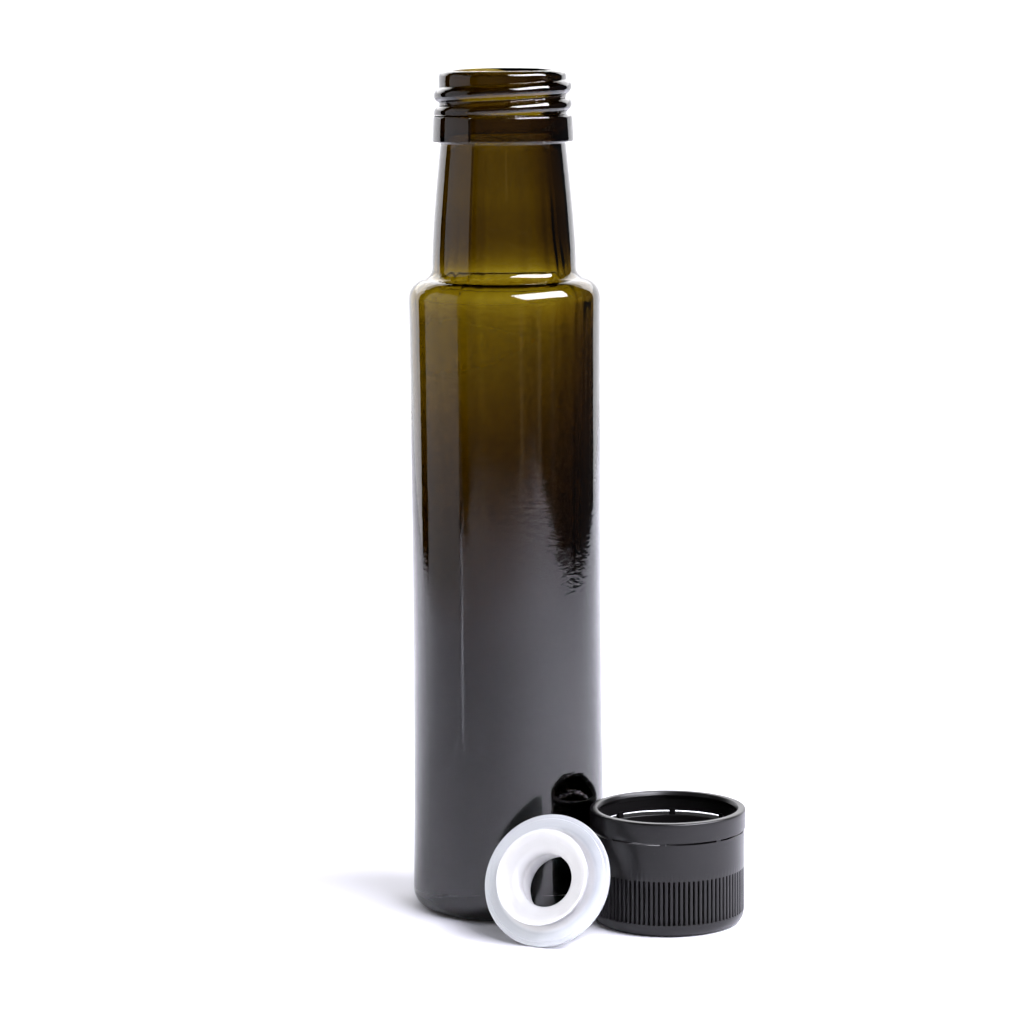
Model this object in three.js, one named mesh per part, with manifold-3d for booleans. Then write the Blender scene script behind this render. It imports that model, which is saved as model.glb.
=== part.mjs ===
// An empty dark green glass oil bottle, with its screw cap and its plastic pourer set down beside it.
// Millimetres, +Z up. Everything stands on the plane z = 0, with the origin in the middle of the set.
import * as THREE from 'three';
import { mergeVertices } from 'three/addons/utils/BufferGeometryUtils.js';
import Module from 'manifold-3d';

const wasm = await Module();
wasm.setup();

// Bottle, outside
const bottleHeight = 185.4;
const heelRadius = 21.45;
const waistRadius = 20.9;
const shoulderRadius = 21.1;
const heelRound = 4.0;
const bearingInnerRadius = 13.4;
const pushUpHeight = 2.2;
const pushUpBend = 9.6;
const shoulderStart = 135.5;
const shoulderRound = 4.6;
const shoulderFillet = 2.4;
const neckBottomRadius = 15.85;
const neckTopRadius = 13.75;
const neckLowerBend = 149.3;
const neckUpperBend = 161.1;
const neckUpperBendRadius = 14.6;
const collarBottom = 169.6;
const collarTop = 175.4;
const collarRadius = 15.5;
const collarTaper = 0.25;
const collarRound = 0.7;
const collarChamfer = 0.35;
const finishRadius = 14.0;
const rimRound = 1.1;

// Bottle, inside
const boreRadius = 11.6;
const neckInnerRadius = 12.6;
const shoulderInnerRadius = 18.5;
const shoulderInnerTop = 142.9;
const shoulderInnerBend = 138.5;
const shoulderInnerBottom = 130.9;
const floorInnerRadius = 16.7;
const floorInnerHeight = 8.0;
const floorInnerRound = 6.0;

// Thread round the mouth, right-handed, and the matching one in the cap
const threadPitch = 3.75;
const threadHeight = 1.15;
const threadWidth = 2.2;
const threadDepthInWall = 0.6;
const threadTurns = 1.95;
const threadMiddleHeight = 178.95;
const threadMiddleAngle = THREE.MathUtils.degToRad(120);
const threadFadeTurns = 0.16;
const capThreadHeight = 0.95;
const capThreadWidth = 1.7;
const capThreadDepthInWall = 0.35;
const capThreadTurns = 1.6;
const capThreadMiddleHeight = 11.0;

// Screw cap, standing on its top with the open end up
const capHeight = 25.2;
const capRadius = 16.7;
const capBandRadius = 17.0;
const capFootRadius = 14.6;
const capFootHeight = 2.8;
const capInnerRadius = 15.4;
const capTopThickness = 2.0;
const bandInnerRadius = 15.85;
const bandBeadRadius = 15.1;
const bandBeadHeight = 0.9;
const bandBeadLead = 0.3;
const bandRimChamfer = 0.45;
const slitBottom = 20.2;
const slitTop = 20.8;
const bridgeCount = 10;
const bridgeWidth = 1.3;
const bridgeOffset = THREE.MathUtils.degToRad(88);
const knurlCount = 96;
const knurlTop = 12.4;
const knurlDepth = 0.35;
const knurlGrooveShare = 0.5;
const cutMargin = 1;

// Pourer, turned about its own axis, with the flange's front face at height 0
const flangeRadius = 14.47;
const flangeThickness = 0.95;
const flangeEdgeRound = 0.25;
const flangeStepRadius = 13.4;
const flangeStep = 0.12;
const lipRadius = 10.5;
const lipHeight = 2.95;
const lipRootRadius = 9.6;
const lipFlareHeight = 1.8;
const lipEdge = 0.35;
const funnelStartRadius = 7.1;
const funnelStartHeight = 1.3;
const funnelDish = 0.3;
const throatRadius = 5.8;
const throatTop = -0.5;
const throatEndRadius = 6.8;
const throatWall = 0.95;
const plugRadius = 11.5;
const plugEndRadius = 11.3;
const plugDepth = 7.5;
const plugEndRound = 0.2;
const plugWall = 0.95;
const hollowTop = 0.75;

// Where the loose pieces stand, from the bottle's axis
const pieceGap = 0.3;
const capDirection = THREE.MathUtils.degToRad(-26.4);
const pourerX = 7.87;
const pourerY = -34.47;
const pourerTurn = THREE.MathUtils.degToRad(-25.8);

// Sides of the round pieces
const bottleSides = 44;
const capSides = knurlCount / 2;
const pourerSides = 36;
const threadStepsPerTurn = 24;
const curveSteps = 3;

// A closed geometry as a solid: equal points are merged and flat triangles at the axis dropped.
function toSolid(geometry) {
  const bare = new THREE.BufferGeometry();
  bare.setAttribute('position', geometry.getAttribute('position'));
  bare.setIndex(geometry.getIndex());
  const merged = mergeVertices(bare, 1e-4);
  const corners = merged.getIndex().array;
  const triangles = [];
  for (let i = 0; i < corners.length; i += 3) {
    const [a, b, c] = [corners[i], corners[i + 1], corners[i + 2]];
    if (a !== b && b !== c && c !== a) {
      triangles.push(a, b, c);
    }
  }
  const vertProperties = new Float32Array(merged.getAttribute('position').array);
  const triVerts = new Uint32Array(triangles);
  return new wasm.Manifold(new wasm.Mesh({ numProp: 3, vertProperties, triVerts }));
}

function toGeometry(solid) {
  const mesh = solid.getMesh();
  const geometry = new THREE.BufferGeometry();
  geometry.setAttribute('position', new THREE.BufferAttribute(mesh.vertProperties, 3));
  geometry.setIndex(new THREE.BufferAttribute(mesh.triVerts, 1));
  geometry.computeVertexNormals();
  return geometry;
}

// A profile of (radius, height) points turned about the Z axis.
function turned(points, sides) {
  return new THREE.LatheGeometry(points, sides).rotateX(Math.PI / 2);
}

// Two tangent arcs that lead from a cylinder of one radius up to a narrower one: a rounded shoulder
// and the fillet above it. Gives both centres and the angle at which the arcs meet.
function shoulderArcs(outerRadius, start, round, innerRadius, fillet) {
  const lower = new THREE.Vector2(outerRadius - round, start);
  const across = innerRadius + fillet - lower.x;
  const rise = Math.sqrt((round + fillet) ** 2 - across ** 2);
  const upper = new THREE.Vector2(innerRadius + fillet, start + rise);
  return { lower, upper, meeting: Math.atan2(rise, across) };
}

// The path of a thread ridge: a helix whose radius sinks by `sink` over the last turns at both ends.
class ThreadCurve extends THREE.Curve {
  constructor({ radius, middle, turns, pitch, startAngle, fadeTurns, sink }) {
    super();
    Object.assign(this, { radius, middle, turns, pitch, startAngle, fadeTurns, sink });
  }

  angleAt(t) {
    return this.startAngle + t * this.turns * 2 * Math.PI;
  }

  getPoint(t, target = new THREE.Vector3()) {
    const angle = this.angleAt(t);
    const turnsFromEnd = Math.min(t, 1 - t) * this.turns;
    const fade = this.fadeTurns > 0 ? 1 - THREE.MathUtils.smoothstep(turnsFromEnd, 0, this.fadeTurns) : 0;
    const radius = this.radius - this.sink * fade;
    const height = this.middle + (t - 0.5) * this.turns * this.pitch;
    return target.set(radius * Math.cos(angle), radius * Math.sin(angle), height);
  }

  // The section is carried upright: its x axis points away from the turning axis, its y axis down.
  computeFrenetFrames(steps) {
    const frames = { tangents: [], normals: [], binormals: [] };
    for (let i = 0; i <= steps; i += 1) {
      const angle = this.angleAt(i / steps);
      frames.normals.push(new THREE.Vector3(Math.cos(angle), Math.sin(angle), 0));
      frames.binormals.push(new THREE.Vector3(0, 0, -1));
      frames.tangents.push(new THREE.Vector3(-Math.sin(angle), Math.cos(angle), 0));
    }
    return frames;
  }
}

// A thread ridge of half-oval section that stands `height` proud, outwards or inwards.
function threadRidge(curve, height, width, depthInWall, outward) {
  const half = width / 2;
  const side = outward ? 1 : -1;
  const section = new THREE.Shape();
  section.moveTo(-side * depthInWall, -side * half);
  section.lineTo(0, -side * half);
  section.absellipse(0, 0, height, half, outward ? -Math.PI / 2 : Math.PI / 2,
    outward ? Math.PI / 2 : (3 * Math.PI) / 2, false, 0);
  section.lineTo(-side * depthInWall, side * half);
  const steps = Math.round(curve.turns * threadStepsPerTurn);
  const settings = { extrudePath: curve, steps, curveSegments: 2, bevelEnabled: false };
  return toSolid(new THREE.ExtrudeGeometry(section, settings));
}

// Bottle: one wall from the push-up under the base, up the outside, over the rim and down the inside.
function bottleSolid() {
  const outline = new THREE.Path();
  outline.moveTo(0, pushUpHeight);
  outline.quadraticCurveTo(pushUpBend, pushUpHeight, bearingInnerRadius, 0);
  outline.lineTo(heelRadius - heelRound, 0);
  outline.quadraticCurveTo(heelRadius, 0, heelRadius, heelRound);
  const waistControl = 2 * waistRadius - (heelRadius + shoulderRadius) / 2;
  outline.quadraticCurveTo(waistControl, shoulderStart / 2, shoulderRadius, shoulderStart);

  const arcs = shoulderArcs(shoulderRadius, shoulderStart, shoulderRound, neckBottomRadius, shoulderFillet);
  outline.absarc(arcs.lower.x, arcs.lower.y, shoulderRound, 0, arcs.meeting, false);
  outline.absarc(arcs.upper.x, arcs.upper.y, shoulderFillet, arcs.meeting - Math.PI, -Math.PI, true);
  outline.bezierCurveTo(neckBottomRadius, neckLowerBend, neckUpperBendRadius, neckUpperBend,
    neckTopRadius, collarBottom);

  const collarTopRadius = collarRadius - collarTaper;
  outline.lineTo(collarRadius - collarChamfer, collarBottom);
  outline.lineTo(collarRadius, collarBottom + collarChamfer);
  outline.lineTo(collarTopRadius, collarTop - collarRound);
  outline.quadraticCurveTo(collarTopRadius, collarTop, collarTopRadius - collarRound, collarTop);
  outline.lineTo(finishRadius, collarTop);

  outline.lineTo(finishRadius, bottleHeight - rimRound);
  outline.quadraticCurveTo(finishRadius, bottleHeight, finishRadius - rimRound, bottleHeight);
  outline.lineTo(boreRadius + rimRound, bottleHeight);
  outline.quadraticCurveTo(boreRadius, bottleHeight, boreRadius, bottleHeight - rimRound);

  outline.lineTo(boreRadius, collarBottom);
  outline.lineTo(neckInnerRadius, shoulderInnerTop);
  outline.bezierCurveTo(neckInnerRadius, shoulderInnerBend, shoulderInnerRadius, shoulderInnerBend,
    shoulderInnerRadius, shoulderInnerBottom);
  outline.lineTo(floorInnerRadius, floorInnerHeight + floorInnerRound);
  const floorFlatRadius = floorInnerRadius - floorInnerRound;
  outline.quadraticCurveTo(floorInnerRadius, floorInnerHeight, floorFlatRadius, floorInnerHeight);
  outline.lineTo(0, floorInnerHeight);

  const wall = toSolid(turned(outline.getPoints(curveSteps), bottleSides));
  const path = new ThreadCurve({
    radius: finishRadius,
    middle: threadMiddleHeight,
    turns: threadTurns,
    pitch: threadPitch,
    startAngle: threadMiddleAngle - threadTurns * Math.PI,
    fadeTurns: threadFadeTurns,
    sink: threadHeight,
  });
  return wall.add(threadRidge(path, threadHeight, threadWidth, threadDepthInWall, true));
}

// A box cutter that stands across the cap's wall at one angle.
function wallCutter(angle, innerRadius, outerRadius, width, bottom, top) {
  const box = new THREE.BoxGeometry(outerRadius - innerRadius, width, top - bottom);
  box.translate((innerRadius + outerRadius) / 2, 0, (bottom + top) / 2);
  box.rotateZ(angle);
  return toSolid(box);
}

// Cap: a turned cup with grip grooves, a thread inside and a tear-off band held by small bridges.
function capSolid() {
  const outline = new THREE.Path();
  outline.moveTo(0, 0);
  outline.lineTo(capFootRadius, 0);
  outline.absellipse(capFootRadius, capFootHeight, capRadius - capFootRadius, capFootHeight,
    -Math.PI / 2, 0, false, 0);
  outline.lineTo(capRadius, knurlTop);
  outline.lineTo(capRadius, (slitBottom + slitTop) / 2);
  outline.lineTo(capBandRadius, (slitBottom + slitTop) / 2);
  outline.lineTo(capBandRadius, capHeight - bandRimChamfer);
  outline.lineTo(capBandRadius - bandRimChamfer, capHeight);
  outline.lineTo(0, capHeight);
  let cap = toSolid(turned(outline.getPoints(curveSteps), capSides));

  const hollow = new THREE.Path();
  hollow.moveTo(0, capTopThickness);
  hollow.lineTo(capInnerRadius, capTopThickness);
  hollow.lineTo(capInnerRadius, slitTop);
  hollow.lineTo(bandInnerRadius, slitTop);
  hollow.lineTo(bandInnerRadius, capHeight - 2 * bandBeadHeight);
  hollow.lineTo(bandBeadRadius, capHeight - bandBeadHeight);
  hollow.lineTo(bandBeadRadius + bandBeadLead, capHeight);
  hollow.lineTo(bandBeadRadius + bandBeadLead, capHeight + cutMargin);
  hollow.lineTo(0, capHeight + cutMargin);
  cap = cap.subtract(toSolid(turned(hollow.getPoints(), capSides)));

  const slit = new THREE.Path();
  const slitInner = capInnerRadius - cutMargin;
  const slitOuter = capBandRadius + cutMargin;
  slit.moveTo(slitInner, slitBottom);
  slit.lineTo(slitOuter, slitBottom);
  slit.lineTo(slitOuter, slitTop);
  slit.lineTo(slitInner, slitTop);
  slit.closePath();
  let slitCutter = toSolid(turned(slit.getPoints(), capSides));
  for (let i = 0; i < bridgeCount; i += 1) {
    const angle = bridgeOffset + (i * 2 * Math.PI) / bridgeCount;
    const bridge = wallCutter(angle, slitInner - cutMargin, slitOuter + cutMargin, bridgeWidth,
      slitBottom - cutMargin, slitTop + cutMargin);
    slitCutter = slitCutter.subtract(bridge);
  }
  cap = cap.subtract(slitCutter);

  const grooveWidth = ((2 * Math.PI * capRadius) / knurlCount) * knurlGrooveShare;
  for (let i = 0; i < knurlCount; i += 1) {
    const angle = ((i + 0.5) * 2 * Math.PI) / knurlCount;
    const groove = wallCutter(angle, capRadius - knurlDepth, capRadius + cutMargin, grooveWidth,
      capFootHeight, knurlTop);
    cap = cap.subtract(groove);
  }

  const path = new ThreadCurve({
    radius: capInnerRadius,
    middle: capThreadMiddleHeight,
    turns: capThreadTurns,
    pitch: threadPitch,
    startAngle: 0,
    fadeTurns: 0,
    sink: 0,
  });
  return cap.add(threadRidge(path, capThreadHeight, capThreadWidth, capThreadDepthInWall, false));
}

// Pourer: a thin turned moulding with a flared lip, a funnel, a throat, a flange and a hollow plug behind.
function pourerOutline() {
  const outline = new THREE.Path();
  outline.moveTo(throatEndRadius, -plugDepth);
  outline.lineTo(throatRadius, throatTop);
  outline.quadraticCurveTo(throatRadius, -throatTop, funnelStartRadius, funnelStartHeight);
  const funnelMiddle = (funnelStartRadius + lipRadius) / 2;
  const funnelMiddleHeight = (funnelStartHeight + lipHeight) / 2 - funnelDish;
  outline.quadraticCurveTo(funnelMiddle, funnelMiddleHeight, lipRadius - lipEdge, lipHeight);
  outline.lineTo(lipRadius, lipHeight - lipEdge / 2);
  outline.quadraticCurveTo(lipRootRadius, lipFlareHeight, lipRootRadius, 0);
  outline.lineTo(flangeStepRadius, 0);
  outline.lineTo(flangeStepRadius + flangeStep, -flangeStep);
  outline.lineTo(flangeRadius - flangeEdgeRound, -flangeStep);
  outline.lineTo(flangeRadius, -flangeStep - flangeEdgeRound);
  outline.lineTo(flangeRadius, -flangeThickness + flangeEdgeRound);
  outline.lineTo(flangeRadius - flangeEdgeRound, -flangeThickness);
  outline.lineTo(plugRadius, -flangeThickness);
  outline.lineTo(plugEndRadius, -plugDepth + plugEndRound);
  outline.lineTo(plugEndRadius - plugEndRound, -plugDepth);
  outline.lineTo(plugEndRadius - plugWall, -plugDepth);
  outline.lineTo(plugRadius - plugWall, -flangeThickness);
  outline.lineTo(lipRootRadius - throatWall, hollowTop);
  outline.lineTo(throatRadius + throatWall, -throatWall);
  outline.lineTo(throatEndRadius + throatWall, -plugDepth);
  outline.closePath();
  return outline.getPoints(curveSteps).reverse();
}

const bottle = new THREE.Mesh(
  toGeometry(bottleSolid()),
  new THREE.MeshStandardMaterial({ color: 0x3a2f0c, roughness: 0.05, metalness: 0 }),
);
bottle.name = 'glass_bottle';

const cap = new THREE.Mesh(
  toGeometry(capSolid()),
  new THREE.MeshStandardMaterial({ color: 0x2c2b2b, roughness: 0.45, metalness: 0 }),
);
cap.name = 'screw_cap';
const capDistance = heelRadius + capBandRadius + pieceGap;
cap.position.set(capDistance * Math.cos(capDirection), capDistance * Math.sin(capDirection), 0);

const pourer = new THREE.Mesh(
  toGeometry(toSolid(turned(pourerOutline(), pourerSides))),
  new THREE.MeshStandardMaterial({ color: 0xf2f3f6, roughness: 0.4, metalness: 0 }),
);
pourer.name = 'pourer_insert';

// The pourer lies on the edge of its flange and on the end of its plug, which sets how far it leans.
const flangeFoot = flangeThickness - flangeEdgeRound;
const pourerLean = Math.atan2(flangeRadius - plugEndRadius, plugDepth - plugEndRound - flangeFoot);
pourer.rotation.x = Math.PI / 2 - pourerLean;
const pourerStand = new THREE.Group();
pourerStand.add(pourer);
pourerStand.rotation.z = pourerTurn;
pourerStand.position.set(pourerX, pourerY, 0);
pourerStand.updateMatrixWorld(true);
pourerStand.position.z = -new THREE.Box3().setFromObject(pourerStand, true).min.z;

// The set is shifted so that the middle of the floor it covers is the origin.
const oilBottle = new THREE.Group();
oilBottle.add(bottle, cap, pourerStand);
oilBottle.updateMatrixWorld(true);
const middle = new THREE.Box3().setFromObject(oilBottle, true).getCenter(new THREE.Vector3());
oilBottle.position.set(-middle.x, -middle.y, 0);

export default oilBottle;
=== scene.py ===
import math

import bmesh
import bpy
import numpy as np
from mathutils import Matrix, Vector


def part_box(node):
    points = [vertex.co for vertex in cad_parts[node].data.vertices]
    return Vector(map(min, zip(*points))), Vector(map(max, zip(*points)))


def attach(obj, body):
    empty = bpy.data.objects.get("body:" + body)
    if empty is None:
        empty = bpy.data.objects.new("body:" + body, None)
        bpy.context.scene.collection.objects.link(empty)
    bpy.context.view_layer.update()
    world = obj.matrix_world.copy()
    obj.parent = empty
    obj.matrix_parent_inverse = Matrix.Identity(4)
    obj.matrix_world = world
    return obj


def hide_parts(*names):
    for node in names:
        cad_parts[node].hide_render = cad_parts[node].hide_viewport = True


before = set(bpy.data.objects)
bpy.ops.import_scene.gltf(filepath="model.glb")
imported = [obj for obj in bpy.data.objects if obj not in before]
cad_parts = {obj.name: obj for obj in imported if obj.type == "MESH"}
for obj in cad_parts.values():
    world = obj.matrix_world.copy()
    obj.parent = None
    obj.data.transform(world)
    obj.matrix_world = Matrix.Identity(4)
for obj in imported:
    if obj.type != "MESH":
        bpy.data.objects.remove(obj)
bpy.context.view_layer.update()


# Glass bottle
# One piece of dark olive green glass, blown in a mould of two halves: a seam runs up the left front and a
# faint one up the back. The wall is thin at the shoulder and thick at the base, which darkens the green.
MM = 0.001
bottle_low, bottle_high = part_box("glass_bottle")
bottle_axis = Vector(((bottle_low.x + bottle_high.x) / 2, (bottle_low.y + bottle_high.y) / 2, 0))

bottle_height = 184.9
heel_radius = 21.45
waist_radius = 20.9
shoulder_radius = 21.1
heel_round = 4.0
bearing_inner_radius = 13.4
push_up_height = 2.2
push_up_bend = 9.6
shoulder_start = 135.5
shoulder_round = 4.6
shoulder_fillet = 2.4
neck_bottom_radius = 15.85
neck_top_radius = 13.75
neck_bends = ((15.85, 149.3), (14.6, 161.1))
neck_fillet = 0.5
collar_bottom = 169.6
collar_top = 175.4
collar_radius = 15.5
collar_top_radius = 15.25
collar_round = 0.7
collar_edge = 0.35
finish_radius = 14.0
finish_fillet = 0.45
rim_round = 1.3
bore_radius = 11.4
bore_end = 178.5
neck_lining = ((12.1, 174.8), (12.25, 171.2), (11.75, 167.6), (12.35, 161.3), (12.85, 156.7), (13.3, 149.0))
shoulder_wall = 1.25
body_lining = ((19.55, 133.0), (19.28, 130.0), (19.1, 126.3), (18.7, 116.0), (18.3, 107.5),
               (17.9, 98.0), (17.4, 82.0), (16.9, 66.0), (16.3, 55.0), (15.8, 42.0))
floor_inner_radius = 15.6
floor_inner_height = 8.0
floor_inner_round = 6.0

thread_pitch = 3.75
thread_height = 1.15
thread_width = 3.2
thread_fullness = 0.8
thread_turns = 1.95
thread_middle_height = 178.95
thread_middle_angle = math.radians(120)
thread_fade_turns = 0.16

seam_angle = math.radians(241.7)
seam_height = 0.5
seam_width = 0.65
seam_reach = 3.0
seam_places = [0, 30, 48, 88, 94, 125, 136, 145, 165]
seam_shares = [0.1, 0.15, 1, 1, 0.25, 0.2, 0.4, 0.5, 0.5]
back_seam_share = 0.1
wall_lean = 0.6
wall_lean_angle = -0.15
wall_lean_fade = 28
neck_side = 0.78
neck_side_width = 0.75
neck_side_steps = ((118, 16), (143, 10))
neck_side_end = 177
neck_side_fade = 8
mouth_tilt = 0.5
mouth_tilt_start = 181
mouth_tilt_rise = 3
wall_wave_fade = 20
wall_waves = ((2, 0.08, 0.4, 1.2), (3, 0.06, 2.1, 1.3), (9, 0.04, 1.2, 1.5),
              (17, 0.05, 4.0, 2.0), (29, 0.04, 0.7, 3.0), (41, 0.025, 2.9, 4.0))


def straight(start, end, steps=1):
    """Points on a straight line, without its first one."""
    share = np.linspace(0, 1, steps + 1)[1:, None]
    return np.array(start) * (1 - share) + np.array(end) * share


def arc(centre, radius, start, end, steps):
    """Points on a round arc between two angles in degrees, without its first one."""
    angle = np.radians(np.linspace(start, end, steps + 1)[1:])
    return np.stack([centre[0] + radius * np.cos(angle), centre[1] + radius * np.sin(angle)], axis=1)


def bend(controls, steps):
    """Points on a smooth curve that is drawn to its control points, without its first one."""
    share = np.linspace(0, 1, steps + 1)[1:, None]
    points = [np.repeat([control], steps, axis=0) for control in np.array(controls, float)]
    while len(points) > 1:
        points = [a * (1 - share) + b * share for a, b in zip(points, points[1:])]
    return points[0]


def through(points, steps):
    """Points on a smooth curve that passes through each point, without its first one."""
    points = np.array(points, float)
    padded = np.vstack([2 * points[0] - points[1], points, 2 * points[-1] - points[-2]])
    share = np.linspace(0, 1, steps + 1)[1:, None]
    pieces = []
    for before, start, end, after in zip(padded, padded[1:], padded[2:], padded[3:]):
        leave = (end - before) / 2
        arrive = (after - start) / 2
        run = end - start
        pieces.append(start + leave * share + (3 * run - 2 * leave - arrive) * share ** 2
                      + (leave + arrive - 2 * run) * share ** 3)
    return np.vstack(pieces)


def turned(profile, angles, push=0.0):
    """Rows of (radius, height) turned about the upright axis, with push added to the radius."""
    radius = profile[:, :1] + push * np.ones(len(angles))
    height = np.repeat(profile[:, 1:], len(angles), axis=1)
    return np.stack([radius * np.cos(angles), radius * np.sin(angles), height], axis=-1)


def skin(name, grid, poles, sharp_angle):
    """A closed mesh over rows of points: its end rows are single points on the axis, or meet in a loop."""
    columns = grid.shape[1]
    if poles:
        points = np.vstack([grid[0, :1], grid[1:-1].reshape(-1, 3), grid[-1, :1]])
        rings = [1 + row * columns for row in range(len(grid) - 2)]
    else:
        points = grid.reshape(-1, 3)
        rings = [row * columns for row in range(len(grid))] + [0]
    here = np.arange(columns)
    beside = (here + 1) % columns
    faces = []
    for lower, upper in zip(rings, rings[1:]):
        faces += np.stack([lower + here, lower + beside, upper + beside, upper + here], axis=1).tolist()
    if poles:
        top = len(points) - 1
        faces += [[0, rings[0] + b, rings[0] + a] for a, b in zip(here.tolist(), beside.tolist())]
        faces += [[rings[-1] + a, rings[-1] + b, top] for a, b in zip(here.tolist(), beside.tolist())]
    mesh = bpy.data.meshes.new(name)
    mesh.from_pydata((points * MM).tolist(), [], faces)
    mesh.shade_smooth()
    mesh.set_sharp_from_angle(angle=math.radians(sharp_angle))
    piece = bpy.data.objects.new(name, mesh)
    bpy.context.scene.collection.objects.link(piece)
    return piece


def smooth_step(value):
    share = np.clip(value, 0, 1)
    return share * share * (3 - 2 * share)


def thread_relief(profile, angles, height, width, turns, middle, middle_angle, fade_turns):
    """How far a right-hand thread ridge stands out at each row and column of a wall."""
    relief = np.zeros((len(profile), len(angles)))
    first = middle_angle - turns * math.pi
    for winding in range(-2, 3):
        unwound = angles + winding * 2 * math.pi
        along = (unwound - first) / (2 * math.pi)
        ridge_height = middle + thread_pitch * (unwound - middle_angle) / (2 * math.pi)
        across = (profile[:, 1:] - ridge_height) / (width / 2)
        fade = smooth_step(np.minimum(along, turns - along) / fade_turns)
        oval = np.clip(1 - across ** 2, 0, 1) ** thread_fullness
        relief = np.maximum(relief, height * fade * oval)
    return relief


def round_angles(count, fine_places=(), fine_reach=0.03, fine_count=13):
    """Angles all round, closer together beside the places named."""
    angles = [np.linspace(0, 2 * math.pi, count, endpoint=False)]
    for place in fine_places:
        angles.append(place + np.linspace(-fine_reach, fine_reach, fine_count))
    return np.unique(np.round(np.concatenate(angles) % (2 * math.pi), 5))


bottle_angles = round_angles(240, (seam_angle, seam_angle - math.pi))
waist_control = 2 * waist_radius - (heel_radius + shoulder_radius) / 2
across_shoulder = neck_bottom_radius + shoulder_fillet - (shoulder_radius - shoulder_round)
shoulder_rise = math.sqrt((shoulder_round + shoulder_fillet) ** 2 - across_shoulder ** 2)
shoulder_meeting = math.degrees(math.atan2(shoulder_rise, across_shoulder))
shoulder_end = shoulder_start + shoulder_rise
collar_inner_edge = (neck_top_radius + neck_fillet, collar_bottom)

base_profile = np.vstack([
    [[0, push_up_height]],
    bend(((0, push_up_height), (push_up_bend, push_up_height), (bearing_inner_radius, 0)), 12),
    straight((bearing_inner_radius, 0), (heel_radius - heel_round, 0)),
])
outside_profile = np.vstack([
    bend(((heel_radius - heel_round, 0), (heel_radius, 0), (heel_radius, heel_round)), 12),
    bend(((heel_radius, heel_round), (waist_control, shoulder_start / 2),
          (shoulder_radius, shoulder_start)), 40),
    arc((shoulder_radius - shoulder_round, shoulder_start), shoulder_round, 0, shoulder_meeting, 12),
    arc((neck_bottom_radius + shoulder_fillet, shoulder_end), shoulder_fillet,
        shoulder_meeting - 180, -180, 10),
    bend(((neck_bottom_radius, shoulder_end), *neck_bends,
          (neck_top_radius, collar_bottom - neck_fillet)), 20),
    arc((neck_top_radius + neck_fillet, collar_bottom - neck_fillet), neck_fillet, 180, 90, 5),
    straight(collar_inner_edge, (collar_radius - collar_edge, collar_bottom)),
    arc((collar_radius - collar_edge, collar_bottom + collar_edge), collar_edge, -90, 0, 5),
    straight((collar_radius, collar_bottom + collar_edge),
             (collar_top_radius, collar_top - collar_round), 4),
    arc((collar_top_radius - collar_round, collar_top - collar_round), collar_round, 0, 90, 6),
])
finish_profile = np.vstack([
    straight((collar_top_radius - collar_round, collar_top), (finish_radius + finish_fillet, collar_top)),
    arc((finish_radius + finish_fillet, collar_top + finish_fillet), finish_fillet, -90, -180, 5),
    straight((finish_radius, collar_top + finish_fillet), (finish_radius, bottle_height - rim_round), 60),
])
inside_profile = np.vstack([
    arc((finish_radius - rim_round, bottle_height - rim_round), rim_round, 0, 90, 8),
    straight((finish_radius - rim_round, bottle_height), (bore_radius + rim_round, bottle_height)),
    arc((bore_radius + rim_round, bottle_height - rim_round), rim_round, 90, 180, 8),
    straight((bore_radius, bottle_height - rim_round), (bore_radius, bore_end), 4),
    through(((bore_radius, bore_end), *neck_lining, (neck_bottom_radius - shoulder_wall, shoulder_end)), 4),
    arc((neck_bottom_radius + shoulder_fillet, shoulder_end), shoulder_fillet + shoulder_wall,
        180, 180 + shoulder_meeting, 14),
    arc((shoulder_radius - shoulder_round, shoulder_start), shoulder_round - shoulder_wall,
        shoulder_meeting, 0, 14),
    through(((shoulder_radius - shoulder_wall, shoulder_start), *body_lining,
             (floor_inner_radius, floor_inner_height + floor_inner_round)), 6),
    bend(((floor_inner_radius, floor_inner_height + floor_inner_round),
          (floor_inner_radius, floor_inner_height),
          (floor_inner_radius - floor_inner_round, floor_inner_height)), 12),
    straight((floor_inner_radius - floor_inner_round, floor_inner_height), (0, floor_inner_height), 4),
])

seam_strength = np.interp(outside_profile[:, 1:], seam_places, seam_shares)
seam_relief = np.zeros((len(outside_profile), len(bottle_angles)))
for seam, share in ((seam_angle, 1.0), (seam_angle - math.pi, back_seam_share)):
    aside = np.angle(np.exp(1j * (bottle_angles - seam))) * heel_radius
    ridge = np.exp(np.minimum(aside, 0) / seam_reach) * (1 - smooth_step(aside / seam_width))
    seam_relief += share * seam_height * seam_strength * ridge

mouth_thread = thread_relief(finish_profile, bottle_angles, thread_height, thread_width, thread_turns,
                             thread_middle_height, thread_middle_angle, thread_fade_turns)

inside_height = inside_profile[:, 1:]
lean_reach = smooth_step((shoulder_end - inside_height) / wall_lean_fade)
inner_waves = -wall_lean * lean_reach * np.cos(bottle_angles - wall_lean_angle)
wave_reach = smooth_step((collar_bottom - inside_height) / wall_wave_fade)
wave_reach = wave_reach * smooth_step(inside_profile[:, :1] / bore_radius)
for count, depth, start, twist in wall_waves:
    turn = start + twist * inside_height / bottle_height
    inner_waves += depth * np.cos(count * bottle_angles + turn)
inner_waves *= wave_reach

side_reach = np.zeros_like(inside_height)
for start, rise in neck_side_steps:
    side_reach += smooth_step((inside_height - start) / rise) / len(neck_side_steps)
side_reach *= smooth_step((neck_side_end - inside_height) / neck_side_fade)
from_side = np.angle(np.exp(1j * bottle_angles)) / neck_side_width
inner_waves -= neck_side * side_reach * np.exp(-from_side ** 2)

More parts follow.
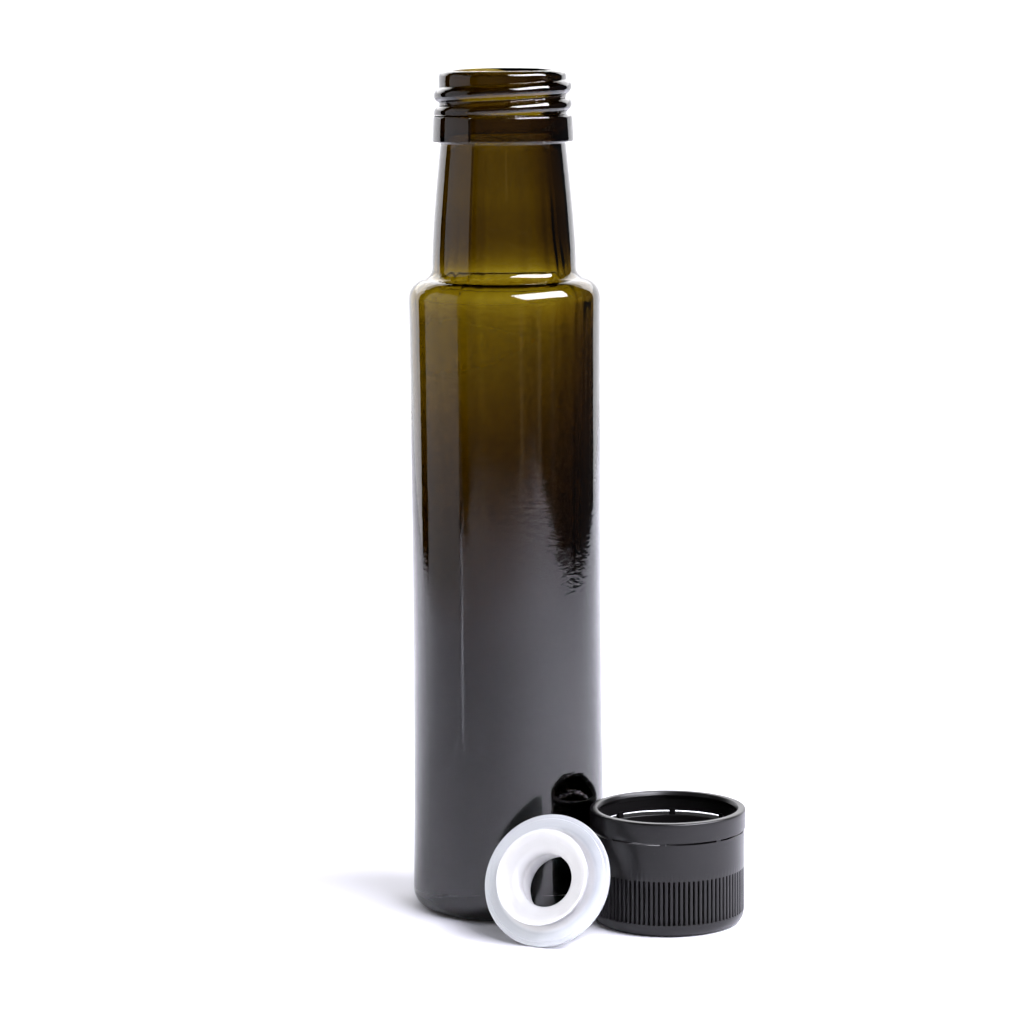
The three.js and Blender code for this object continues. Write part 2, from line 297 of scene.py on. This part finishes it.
bottle_grid = np.vstack([
    turned(base_profile, bottle_angles),
    turned(outside_profile, bottle_angles, seam_relief),
    turned(finish_profile, bottle_angles, mouth_thread),
    turned(inside_profile, bottle_angles, inner_waves),
])
tilt_reach = smooth_step((bottle_grid[..., 2] - mouth_tilt_start) / mouth_tilt_rise)
bottle_grid[..., 2] += mouth_tilt * tilt_reach * np.maximum(bottle_grid[..., 1], 0) / finish_radius
bottle = skin("oil_bottle", bottle_grid, poles=True, sharp_angle=60)
bottle.data.transform(Matrix.Translation(bottle_axis))


class Signal:
    """An output socket that takes part in sums: each sum adds its Math node to the same finish."""

    def __init__(self, finish, socket):
        self.finish = finish
        self.socket = socket

    def math(self, operation, first, second):
        return self.finish.node("Math", {"operation": operation}, {0: first, 1: second})

    def __add__(self, other):
        return self.math("ADD", self, other)

    def __sub__(self, other):
        return self.math("SUBTRACT", self, other)

    def __rsub__(self, other):
        return self.math("SUBTRACT", other, self)

    def __mul__(self, other):
        return self.math("MULTIPLY", self, other)

    __radd__ = __add__
    __rmul__ = __mul__


class Finish:
    """The node tree of a material or of the surroundings."""

    def __init__(self, owner):
        owner.use_nodes = True
        self.tree = owner.node_tree
        self.tree.nodes.clear()

    def node(self, kind, settings=None, sockets=None, output=0):
        """A node of any kind: its settings, then the values or links of its sockets. Gives one output."""
        made = self.tree.nodes.new("ShaderNode" + kind)
        for name, value in (settings or {}).items():
            setattr(made, name, value)
        for name, value in (sockets or {}).items():
            if isinstance(value, Signal):
                self.tree.links.new(value.socket, made.inputs[name])
            else:
                made.inputs[name].default_value = value
        return Signal(self, made.outputs[output]) if made.outputs else None

    def ramp(self, value, low, high):
        """0 below low, 1 above high, and smooth between them."""
        limits = {"Value": value, "From Min": low, "From Max": high}
        return self.node("MapRange", {"interpolation_type": "SMOOTHSTEP"}, limits)

    def blend(self, share, first, second):
        """A colour between two colours."""
        return self.node("Mix", {"data_type": "RGBA"}, {0: share, 6: first, 7: second}, output=2)

    def place(self, scale=(1, 1, 1)):
        """Places on the piece, in metres from its own origin, stretched by a scale along each axis."""
        own = self.node("TexCoord", output="Object")
        return self.node("VectorMath", {"operation": "MULTIPLY"}, {0: own, 1: scale})

    def noise(self, place, size, detail=2.0):
        """Soft noise from 0 to 1 whose patches are about that size, in metres."""
        return self.node("TexNoise", {}, {"Vector": place, "Scale": 1 / size, "Detail": detail})

    def bump(self, height, depth):
        """A surface direction that follows a height field of that depth, in metres."""
        return self.node("Bump", {}, {"Height": height, "Strength": 1.0, "Distance": depth})

    def from_axis(self, place, axis):
        """Distance from an upright axis, in metres."""
        level = self.node("VectorMath", {"operation": "MULTIPLY"}, {0: place, 1: (1, 1, 0)})
        return self.node("VectorMath", {"operation": "DISTANCE"}, {0: level, 1: axis}, output="Value")


glass_index = 1.52
glass_absorption = (690.0, 830.0, 2000.0)
outer_wall_start = 19.9 * MM
outer_wall_end = 20.6 * MM
ripple_size = 1.5 * MM
ripple_depth = 0.014 * MM
ripple_stretch = (1, 1, 2)
ripple_fade_start = 100 * MM
ripple_fade_end = 114 * MM
sweep_size = 9 * MM
sweep_depth = 0.05 * MM
sweep_stretch = (1, 1, 0.5)

green_glass = bpy.data.materials.new("green_glass")
glass = Finish(green_glass)
ripple = glass.noise(glass.place(ripple_stretch), ripple_size, detail=1.0)
sweep = glass.noise(glass.place(sweep_stretch), sweep_size, detail=1.0)
glass_radius = glass.from_axis(glass.place(), bottle_axis)
outer_wall = glass.ramp(glass_radius, outer_wall_start, outer_wall_end)
glass_height = glass.node("SeparateXYZ", {}, {"Vector": glass.place()}, output="Z")
rippled = outer_wall * (1 - glass.ramp(glass_height, ripple_fade_start, ripple_fade_end))
glass_relief = ripple * rippled + sweep * outer_wall * (sweep_depth / ripple_depth)
glass_surface = glass.node("BsdfPrincipled", {}, {
    "Base Color": (1, 1, 1, 1),
    "Roughness": 0.0,
    "IOR": glass_index,
    "Transmission Weight": 1.0,
    "Normal": glass.bump(glass_relief, ripple_depth),
})
glass_density = max(glass_absorption)
glass_tint = [1 - taken / glass_density for taken in glass_absorption]
glass_inside = glass.node("VolumeAbsorption", {}, {"Color": (*glass_tint, 1), "Density": glass_density})
glass.node("OutputMaterial", {}, {"Surface": glass_surface, "Volume": glass_inside})

bottle.data.materials.append(green_glass)
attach(bottle, "root")
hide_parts("glass_bottle")


# Pourer insert
# A thin moulding of soft white plastic that lets light through: a flared lip, a funnel, a throat, a flange
# and a hollow plug behind. It lies on the flange's edge and the plug's end, with the funnel to the front.
# Its base colour paints light and shade: the deep throat is painted lighter, and the funnel and flange
# darker, than one plastic under even light would be.
flange_radius = 14.47
flange_thickness = 0.95
flange_edge_round = 0.25
flange_step_radius = 13.4
flange_step = 0.12
lip_radius = 10.5
lip_height = 2.95
lip_root_radius = 9.6
lip_root_fillet = 0.3
lip_flare_height = 1.8
lip_edge = 0.35
funnel_start_radius = 7.1
funnel_start_height = 1.3
funnel_dish = 0.3
throat_radius = 5.8
throat_top = -0.5
throat_end_radius = 6.8
throat_wall = 0.95
plug_radius = 11.5
plug_end_radius = 11.3
plug_depth = 7.5
plug_end_round = 0.2
plug_wall = 0.95
hollow_top = 0.75
pourer_from_bottle = Vector((7.87, -34.47, 0)) * MM
pourer_turn = math.radians(-25.8)

flange_back = -flange_thickness
flange_front = -flange_step
flange_core = flange_radius - flange_edge_round
funnel_middle = ((funnel_start_radius + lip_radius) / 2,
                 (funnel_start_height + lip_height) / 2 - funnel_dish)
pourer_profile = np.vstack([
    [[plug_end_radius, -plug_depth + plug_end_round]],
    straight((plug_end_radius, -plug_depth + plug_end_round), (plug_radius, flange_back), 6),
    straight((plug_radius, flange_back), (flange_core, flange_back), 3),
    arc((flange_core, flange_back + flange_edge_round), flange_edge_round, -90, 0, 5),
    arc((flange_core, flange_front - flange_edge_round), flange_edge_round, 0, 90, 5),
    straight((flange_core, flange_front), (flange_step_radius + flange_step, flange_front), 2),
    straight((flange_step_radius + flange_step, flange_front), (flange_step_radius, 0)),
    straight((flange_step_radius, 0), (lip_root_radius + lip_root_fillet, 0), 4),
    arc((lip_root_radius + lip_root_fillet, lip_root_fillet), lip_root_fillet, -90, -180, 4),
    bend(((lip_root_radius, lip_root_fillet), (lip_root_radius, lip_flare_height),
          (lip_radius, lip_height - lip_edge / 2)), 8),
    bend(((lip_radius, lip_height - lip_edge / 2), (lip_radius, lip_height),
          (lip_radius - lip_edge, lip_height)), 4),
    bend(((lip_radius - lip_edge, lip_height), funnel_middle,
          (funnel_start_radius, funnel_start_height)), 12),
    bend(((funnel_start_radius, funnel_start_height), (throat_radius, -throat_top),
          (throat_radius, throat_top)), 10),
    straight((throat_radius, throat_top), (throat_end_radius, -plug_depth), 6),
    straight((throat_end_radius, -plug_depth), (throat_end_radius + throat_wall, -plug_depth)),
    straight((throat_end_radius + throat_wall, -plug_depth),
             (throat_radius + throat_wall, -throat_wall), 5),
    straight((throat_radius + throat_wall, -throat_wall), (lip_root_radius - throat_wall, hollow_top), 4),
    straight((lip_root_radius - throat_wall, hollow_top), (plug_radius - plug_wall, flange_back), 4),
    straight((plug_radius - plug_wall, flange_back), (plug_end_radius - plug_wall, -plug_depth), 5),
    straight((plug_end_radius - plug_wall, -plug_depth), (plug_end_radius - plug_end_round, -plug_depth)),
])
pourer = skin("pourer", turned(pourer_profile, round_angles(192)), poles=False, sharp_angle=40)

flange_foot = flange_thickness - flange_edge_round
pourer_lean = math.atan2(flange_radius - plug_end_radius, plug_depth - plug_end_round - flange_foot)
pourer_stand = Matrix.Rotation(pourer_turn, 4, "Z") @ Matrix.Rotation(math.pi / 2 - pourer_lean, 4, "X")
pourer_lift = -min((pourer_stand @ vertex.co).z for vertex in pourer.data.vertices)
pourer_place = bottle_axis + pourer_from_bottle + Vector((0, 0, pourer_lift))
pourer.data.transform(Matrix.Translation(pourer_place) @ pourer_stand)

plastic_index = 1.51
plastic_scatter = 2.0 * MM
ring_spacing = 0.9 * MM
ring_depth = 0.004 * MM
cloud_size = 3 * MM
# Painted light and shade on one plastic: the deep throat's white is raised to stand in for light the thin
# walls let in, and the funnel's whites are lowered as painted shade where the key light falls. The flange's
# white is partly its own bluish tone and partly painted shade.
throat_depth = -2.5 * MM
throat_front = -0.3 * MM
throat_painted_light = (0.95, 0.94, 0.92, 1)
funnel_low_painted_shade = (0.46, 0.458, 0.453, 1)
funnel_high_painted_shade = (0.50, 0.497, 0.492, 1)
flange_start = 10.8 * MM
flange_full = 11.8 * MM
flange_tone_and_painted_shade = (0.70, 0.72, 0.745, 1)
flange_clear_tint = (0.91, 0.95, 0.985, 1)
flange_clear_share = 0.5

pourer_plastic = bpy.data.materials.new("pourer_plastic")
soft_white = Finish(pourer_plastic)
upright_place = soft_white.node("Mapping", {"vector_type": "TEXTURE"}, {
    "Vector": soft_white.place(),
    "Location": pourer_place,
    "Rotation": pourer_stand.to_euler(),
})
from_axis = soft_white.from_axis(upright_place, (0, 0, 0))
rings = soft_white.node("Math", {"operation": "SINE"}, {0: from_axis * (2 * math.pi / ring_spacing)})
cloud = soft_white.noise(soft_white.place(), cloud_size)
on_flange = soft_white.ramp(from_axis, flange_start, flange_full)
along_axis = soft_white.node("SeparateXYZ", {}, {"Vector": upright_place}, output="Z")
# Painted light in the throat, painted shade on the funnel and flange, chosen by depth along the axis and
# distance from it.
past_throat = soft_white.ramp(along_axis, throat_depth, throat_front)
funnel_painted_shade = soft_white.blend(cloud, funnel_low_painted_shade, funnel_high_painted_shade)
inner_painted_light_and_shade = soft_white.blend(past_throat, throat_painted_light, funnel_painted_shade)
white = soft_white.blend(on_flange, inner_painted_light_and_shade, flange_tone_and_painted_shade)
pourer_surface = soft_white.node("BsdfPrincipled", {"subsurface_method": "RANDOM_WALK"}, {
    "Base Color": white,
    "Roughness": 0.32 + 0.12 * cloud,
    "IOR": plastic_index,
    "Subsurface Weight": 1.0,
    "Subsurface Radius": (1.0, 1.0, 1.0),
    "Subsurface Scale": plastic_scatter,
    "Normal": soft_white.bump(rings, ring_depth),
})
pourer_clear = soft_white.node("BsdfPrincipled", {}, {
    "Base Color": flange_clear_tint,
    "Roughness": 0.2,
    "IOR": plastic_index,
    "Transmission Weight": 1.0,
})
thin_share = flange_clear_share * on_flange
pourer_mixed = soft_white.node("MixShader", {}, {0: thin_share, 1: pourer_surface, 2: pourer_clear})
soft_white.node("OutputMaterial", {}, {"Surface": pourer_mixed})

pourer.data.materials.append(pourer_plastic)
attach(pourer, "root")
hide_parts("pourer_insert")


# Screw cap
# Black satin plastic, moulded in one and standing on its top with the open end up. Fine grooves round the
# grip end at a smooth wall. A cut with small bridges parts it from the tear-off band, and a thread runs
# round inside.
cap_low, cap_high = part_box("screw_cap")
cap_axis = Vector(((cap_low.x + cap_high.x) / 2, (cap_low.y + cap_high.y) / 2, 0))
cap_height = 25.2
cap_radius = 16.7
cap_band_radius = 17.0
cap_foot_radius = 14.6
cap_foot_height = 2.8
cap_inner_radius = 15.4
cap_inner_round = 0.8
cap_top_thickness = 2.0
cap_edge_round = 0.12
band_inner_radius = 15.85
band_bead_radius = 15.1
band_bead_height = 0.9
band_bead_lead = 0.3
band_rim_round = 0.45
slit_bottom = 20.4
slit_top = 20.85
skirt_end = 19.9
bridge_count = 8
bridge_width = 1.3
bridge_offset = math.radians(83.6)
bridge_inner_radius = 15.6
bridge_outer_radius = 16.6
bridge_root = 0.45
knurl_count = 96
knurl_top = 12.4
knurl_depth = 0.65
knurl_end = 0.06
cap_thread_height = 0.95
cap_thread_width = 1.7
cap_thread_turns = 1.6
cap_thread_middle = 11.0
cap_thread_middle_angle = math.pi * cap_thread_turns
cap_thread_fade = 0.05

groove_places = np.array([0.0, 0.16, 0.28, 0.36, 0.5, 0.64, 0.72, 0.84])
groove_share = np.array([0.0, 0.02, 0.1, 0.4, 1.0, 0.4, 0.1, 0.02])
cap_angles = ((np.arange(knurl_count)[:, None] + groove_places) * 2 * math.pi / knurl_count).ravel()
groove_depths = np.tile(groove_share, knurl_count) * knurl_depth

foot_angles = np.radians(np.linspace(-90, 0, 13))
foot_profile = np.stack([
    cap_foot_radius + (cap_radius - cap_foot_radius) * np.cos(foot_angles),
    cap_foot_height + cap_foot_height * np.sin(foot_angles),
], axis=1)
foot_profile = np.vstack([[[0, 0]], foot_profile])
grip_profile = np.vstack([
    straight((cap_radius, cap_foot_height), (cap_radius, cap_foot_height + knurl_end)),
    straight((cap_radius, cap_foot_height + knurl_end), (cap_radius, knurl_top - knurl_end), 5),
])
skirt_profile = np.vstack([
    straight((cap_radius, knurl_top - knurl_end), (cap_radius, knurl_top)),
    straight((cap_radius, knurl_top), (cap_radius, slit_bottom), 4),
    straight((cap_radius, slit_bottom), (cap_inner_radius + cap_edge_round, skirt_end)),
])
lining_profile = np.vstack([
    arc((cap_inner_radius + cap_edge_round, skirt_end - cap_edge_round), cap_edge_round, 90, 180, 3),
    straight((cap_inner_radius, skirt_end - cap_edge_round),
             (cap_inner_radius, cap_top_thickness + cap_inner_round), 70),
    arc((cap_inner_radius - cap_inner_round, cap_top_thickness + cap_inner_round),
        cap_inner_round, 0, -90, 5),
    straight((cap_inner_radius - cap_inner_round, cap_top_thickness), (0, cap_top_thickness), 3),
])
lining_thread = thread_relief(lining_profile, cap_angles, cap_thread_height, cap_thread_width,
                              cap_thread_turns, cap_thread_middle, cap_thread_middle_angle, cap_thread_fade)
cap_grid = np.vstack([
    turned(foot_profile, cap_angles),
    turned(grip_profile, cap_angles, -groove_depths),
    turned(skirt_profile, cap_angles),
    turned(lining_profile, cap_angles, -lining_thread),
])
cap = skin("cap", cap_grid, poles=True, sharp_angle=35)

bead_top = cap_height - band_bead_height
bead_bottom = cap_height - 2 * band_bead_height
lead_radius = band_bead_radius + band_bead_lead
band_profile = np.vstack([
    [[cap_band_radius - cap_edge_round, slit_top]],
    arc((cap_band_radius - cap_edge_round, slit_top + cap_edge_round), cap_edge_round, -90, 0, 3),
    straight((cap_band_radius, slit_top + cap_edge_round),
             (cap_band_radius, cap_height - band_rim_round), 4),
    arc((cap_band_radius - band_rim_round, cap_height - band_rim_round), band_rim_round, 0, 90, 6),
    straight((cap_band_radius - band_rim_round, cap_height), (lead_radius + cap_edge_round, cap_height)),
    bend(((lead_radius + cap_edge_round, cap_height), (lead_radius, cap_height),
          (band_bead_radius, bead_top + cap_edge_round)), 5),
    bend(((band_bead_radius, bead_top + cap_edge_round), (band_bead_radius, bead_top),
          (band_inner_radius, bead_bottom)), 5),
    straight((band_inner_radius, bead_bottom), (band_inner_radius, slit_top), 3),
])
band = skin("cap_band", turned(band_profile, round_angles(240)), poles=False, sharp_angle=35)

bridge_length = bridge_outer_radius - bridge_inner_radius
bridge_height = slit_top - slit_bottom + 2 * bridge_root
bridge_radius = (bridge_outer_radius + bridge_inner_radius) / 2
bridge_middle = Vector((bridge_radius, 0, (slit_top + slit_bottom) / 2)) * MM
bridge_size = Matrix.Diagonal((bridge_length * MM, bridge_width * MM, bridge_height * MM, 1))
bridges = bmesh.new()
for index in range(bridge_count):
    turn = Matrix.Rotation(bridge_offset + index * 2 * math.pi / bridge_count, 4, "Z")
    bmesh.ops.create_cube(bridges, size=1, matrix=turn @ Matrix.Translation(bridge_middle) @ bridge_size)
bridge_mesh = bpy.data.meshes.new("cap_bridges")
bridges.to_mesh(bridge_mesh)
bridges.free()
bridge_blocks = bpy.data.objects.new("cap_bridges", bridge_mesh)
bpy.context.scene.collection.objects.link(bridge_blocks)

for part in (band, bridge_blocks):
    union = cap.modifiers.new(part.name, "BOOLEAN")
    union.operation = "UNION"
    union.solver = "MANIFOLD"
    union.object = part
joined_mesh = bpy.data.meshes.new_from_object(cap.evaluated_get(bpy.context.evaluated_depsgraph_get()))
joined_mesh.materials.clear()
cap.modifiers.clear()
cap.data = joined_mesh
for part in (band, bridge_blocks):
    bpy.data.objects.remove(part)
cap.data.transform(Matrix.Translation(cap_axis))

cap_plastic_index = 1.49
cap_shine = 0.36
grain_size = 0.25 * MM
grain_depth = 0.006 * MM
streak_size = 4 * MM
streak_stretch = (1, 1, 14)
scuff_size = 1.1 * MM
scuff_start = 0.62
scuff_full = 0.75
scuff_share = 0.2
deep_black = (0.004, 0.0035, 0.0037, 1)
pale_black = (0.0065, 0.0057, 0.0057, 1)
scuff_grey = (0.022, 0.021, 0.020, 1)

cap_plastic = bpy.data.materials.new("cap_plastic")
black = Finish(cap_plastic)
grain = black.noise(black.place(), grain_size)
streaks = black.noise(black.place(streak_stretch), streak_size)
scuffs = black.ramp(black.noise(black.place(), scuff_size, detail=4.0), scuff_start, scuff_full)
black_tone = black.blend(streaks, deep_black, pale_black)
cap_surface = black.node("BsdfPrincipled", {}, {
    "Base Color": black.blend(scuffs * scuff_share, black_tone, scuff_grey),
    "Roughness": 0.28 + 0.08 * streaks + 0.06 * scuffs,
    "IOR": cap_plastic_index,
    "Specular IOR Level": cap_shine,
    "Normal": black.bump(grain + 0.5 * streaks, grain_depth),
})
black.node("OutputMaterial", {}, {"Surface": cap_surface})

cap.data.materials.append(cap_plastic)
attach(cap, "root")
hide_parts("screw_cap")


# Floor
# A plain white table top that the set stands on. It fades out at a distance on all four sides, where the
# room is dark.
table_colour = (0.76, 0.755, 0.77, 1)
floor_reach = 1.6
floor_right_edge = 0.475
floor_left_edge = -0.47
floor_edge_fade = 0.03
floor_front_start = -0.40
floor_front_end = -0.80
floor_back_start = 0.75
floor_back_end = 1.05

floor_mesh = bpy.data.meshes.new("floor")
corners = [(-floor_reach, -floor_reach, 0), (floor_reach, -floor_reach, 0),
           (floor_reach, floor_reach, 0), (-floor_reach, floor_reach, 0)]
floor_mesh.from_pydata(corners, [], [(0, 1, 2, 3)])
floor = bpy.data.objects.new("floor", floor_mesh)
bpy.context.scene.collection.objects.link(floor)

table_white = bpy.data.materials.new("table_white")
table = Finish(table_white)
floor_across = table.node("SeparateXYZ", {}, {"Vector": table.place()}, output="X")
floor_depth = table.node("SeparateXYZ", {}, {"Vector": table.place()}, output="Y")
floor_shown = table.ramp(floor_depth, floor_front_end, floor_front_start)
floor_shown = floor_shown * (1 - table.ramp(floor_depth, floor_back_start, floor_back_end))
past_left = table.ramp(floor_across, floor_left_edge - floor_edge_fade,
                       floor_left_edge + floor_edge_fade)
past_right = table.ramp(floor_across, floor_right_edge - floor_edge_fade,
                        floor_right_edge + floor_edge_fade)
floor_shown = floor_shown * past_left * (1 - past_right)
table_surface = table.node("BsdfPrincipled", {}, {
    "Base Color": table_colour,
    "Roughness": 0.6,
    "Specular IOR Level": 0.2,
    "Alpha": floor_shown,
})
table.node("OutputMaterial", {}, {"Surface": table_surface})
floor_mesh.materials.append(table_white)


# Light
# Soft studio light: a white surround, a bright wall behind, a large soft box high on the right, a pale
# screen on the left, and dim strips in the dark room in front. Four small lamps light the table alone, and
# one lights the pourer alone.
surround_white = (1, 1, 1, 1)
surround_fill = 0.1
surround_seen = 1.5
surround_dark_start = 0.75
surround_dark_end = 0.95

surround = bpy.data.worlds.new("surround")
bpy.context.scene.world = surround
sky = Finish(surround)
seen_directly = sky.node("LightPath", output="Is Camera Ray")
seen_through = sky.node("LightPath", output="Is Transmission Ray")
seen = sky.node("Math", {"operation": "MAXIMUM"}, {0: seen_directly, 1: seen_through})
seen_height = sky.node("SeparateXYZ", {}, {"Vector": sky.node("TexCoord", output="Generated")}, output="Z")
seen_bright = 1 - sky.ramp(seen_height, surround_dark_start, surround_dark_end)
strength = surround_fill * (1 - seen) + surround_seen * seen * seen_bright
sky_light = sky.node("Background", {}, {"Color": surround_white, "Strength": strength})
sky.node("OutputWorld", {}, {"Surface": sky_light})
surround.cycles_visibility.glossy = False


def soft_light(name, place, target, width, height, radiance, colour):
    """A flat lamp of that size and brightness that faces the target."""
    lamp = bpy.data.lights.new(name, "AREA")
    lamp.shape = "RECTANGLE"
    lamp.size = width
    lamp.size_y = height
    lamp.energy = radiance * math.pi * width * height
    lamp.color = colour
    holder = bpy.data.objects.new(name, lamp)
    holder.location = place
    holder.rotation_euler = (Vector(target) - Vector(place)).to_track_quat("-Z", "Y").to_euler()
    holder.visible_camera = False
    holder.visible_transmission = False
    bpy.context.scene.collection.objects.link(holder)
    return holder


set_middle = (0, 0, 0.08)
soft_light("wall_light", (-0.225, 1.1, 0.2), (-0.225, 0, 0.2), 2.81, 1.6, 1.95, (1, 1, 1.04))
soft_box = soft_light("soft_box", (0.50, -0.351, 0.672), set_middle, 0.9, 0.45, 13.5, (1, 1, 1.15))
soft_box.visible_glossy = False
soft_box_face = soft_light("soft_box_face", (0.49, -0.344, 0.66), set_middle, 0.9, 0.45, 22.0, (1, 1, 1.1))
soft_box_face.visible_diffuse = False
upper_wall = soft_light("upper_wall", (0, 1.09, 0.85), (0, 0, 0.85), 2.4, 0.8, 1.6, (1, 0.98, 0.96))
upper_wall.visible_diffuse = False
soft_light("left_screen", (-0.9, -0.088, 0.05), (0, -0.088, 0.05), 0.83, 1.5, 0.7, (1, 1, 1.06))
soft_light("room_front", (0, -1.9, 0.3), (0, 0, 0.3), 4.0, 2.4, 0.07, (1, 1, 1.1))
soft_light("room_right", (2.2, 0, 0.3), (0, 0, 0.3), 4.0, 2.4, 0.05, (1, 1, 1.1))
strip_distance = 1.85
strip_width = 0.13
for turn, height, reach, radiance, tint in (
        (19, -0.35, 0.9, 0.34, (1, 0.75, 0.42)),
        (41, -0.35, 0.9, 0.3, (1, 0.8, 0.5)),
        (58.5, -0.35, 0.9, 0.13, (1, 0.85, 0.7)),
        (4.5, 0.7, 0.6, 0.3, (1, 0.7, 0.3))):
    aside = strip_distance * math.sin(math.radians(turn))
    ahead = -strip_distance * math.cos(math.radians(turn))
    soft_light("room_strip", (aside, ahead, height), (0, 0, height), strip_width, reach, radiance, tint)

table_only = bpy.data.collections.new("table_only")
table_only.objects.link(floor)
glow_colour = (1, 1, 1.12)
glow_lean = 0.001
for name, place, turn, width, reach, radiance in (
        ("left_glow", (-0.31, 0.26, 0.18), 0, 0.3, 0.3, 3.0),
        ("right_glow", (0.3, 0.44, 0.25), 34, 0.25, 0.7, 3.6),
        ("front_glow", (0.18, -0.08, 0.2), 0, 0.22, 0.22, 5.4),
        ("back_glow", (-0.05, 0.65, 0.35), 0, 1.1, 0.4, 2.0)):
    aside = place[0] + glow_lean * math.sin(math.radians(turn))
    ahead = place[1] + glow_lean * math.cos(math.radians(turn))
    lamp = soft_light(name, place, (aside, ahead, 0), width, reach, radiance, glow_colour)
    lamp.visible_glossy = False
    lamp.light_linking.receiver_collection = table_only

pourer_only = bpy.data.collections.new("pourer_only")
pourer_only.objects.link(pourer)
pourer_fill = soft_light("pourer_fill", (-0.55, -0.38, 0.1), pourer_place, 0.4, 0.4, 12.0, (1, 1, 1.02))
pourer_fill.visible_glossy = False
pourer_fill.light_linking.receiver_collection = pourer_only


# Camera
# A long lens at a small distance above the table, looking a little down, as the photograph was taken.
camera_from_bottle = Vector((0, -760, 194.933)) * MM
camera_pitch = math.radians(8.0)
camera_yaw = 0.00167178
camera_roll = -0.00848159
camera_sensor = 36.0
camera_lens = 122.14

forward = Vector((math.sin(camera_yaw) * math.cos(camera_pitch),
                  math.cos(camera_yaw) * math.cos(camera_pitch), -math.sin(camera_pitch)))
level = Vector((math.cos(camera_yaw), -math.sin(camera_yaw), 0))
upright = level.cross(forward)
right = level * math.cos(camera_roll) + upright * math.sin(camera_roll)
upwards = upright * math.cos(camera_roll) - level * math.sin(camera_roll)

lens = bpy.data.cameras.new("camera")
lens.lens = camera_lens
lens.sensor_width = camera_sensor
lens.clip_start = 0.01
camera = bpy.data.objects.new("camera", lens)
camera_axes = Matrix((right, upwards, -forward)).transposed().to_4x4()
camera.matrix_world = Matrix.Translation(bottle_axis + camera_from_bottle) @ camera_axes
bpy.context.scene.collection.objects.link(camera)
bpy.context.scene.camera = camera
bpy.context.scene.view_settings.view_transform = "Standard"
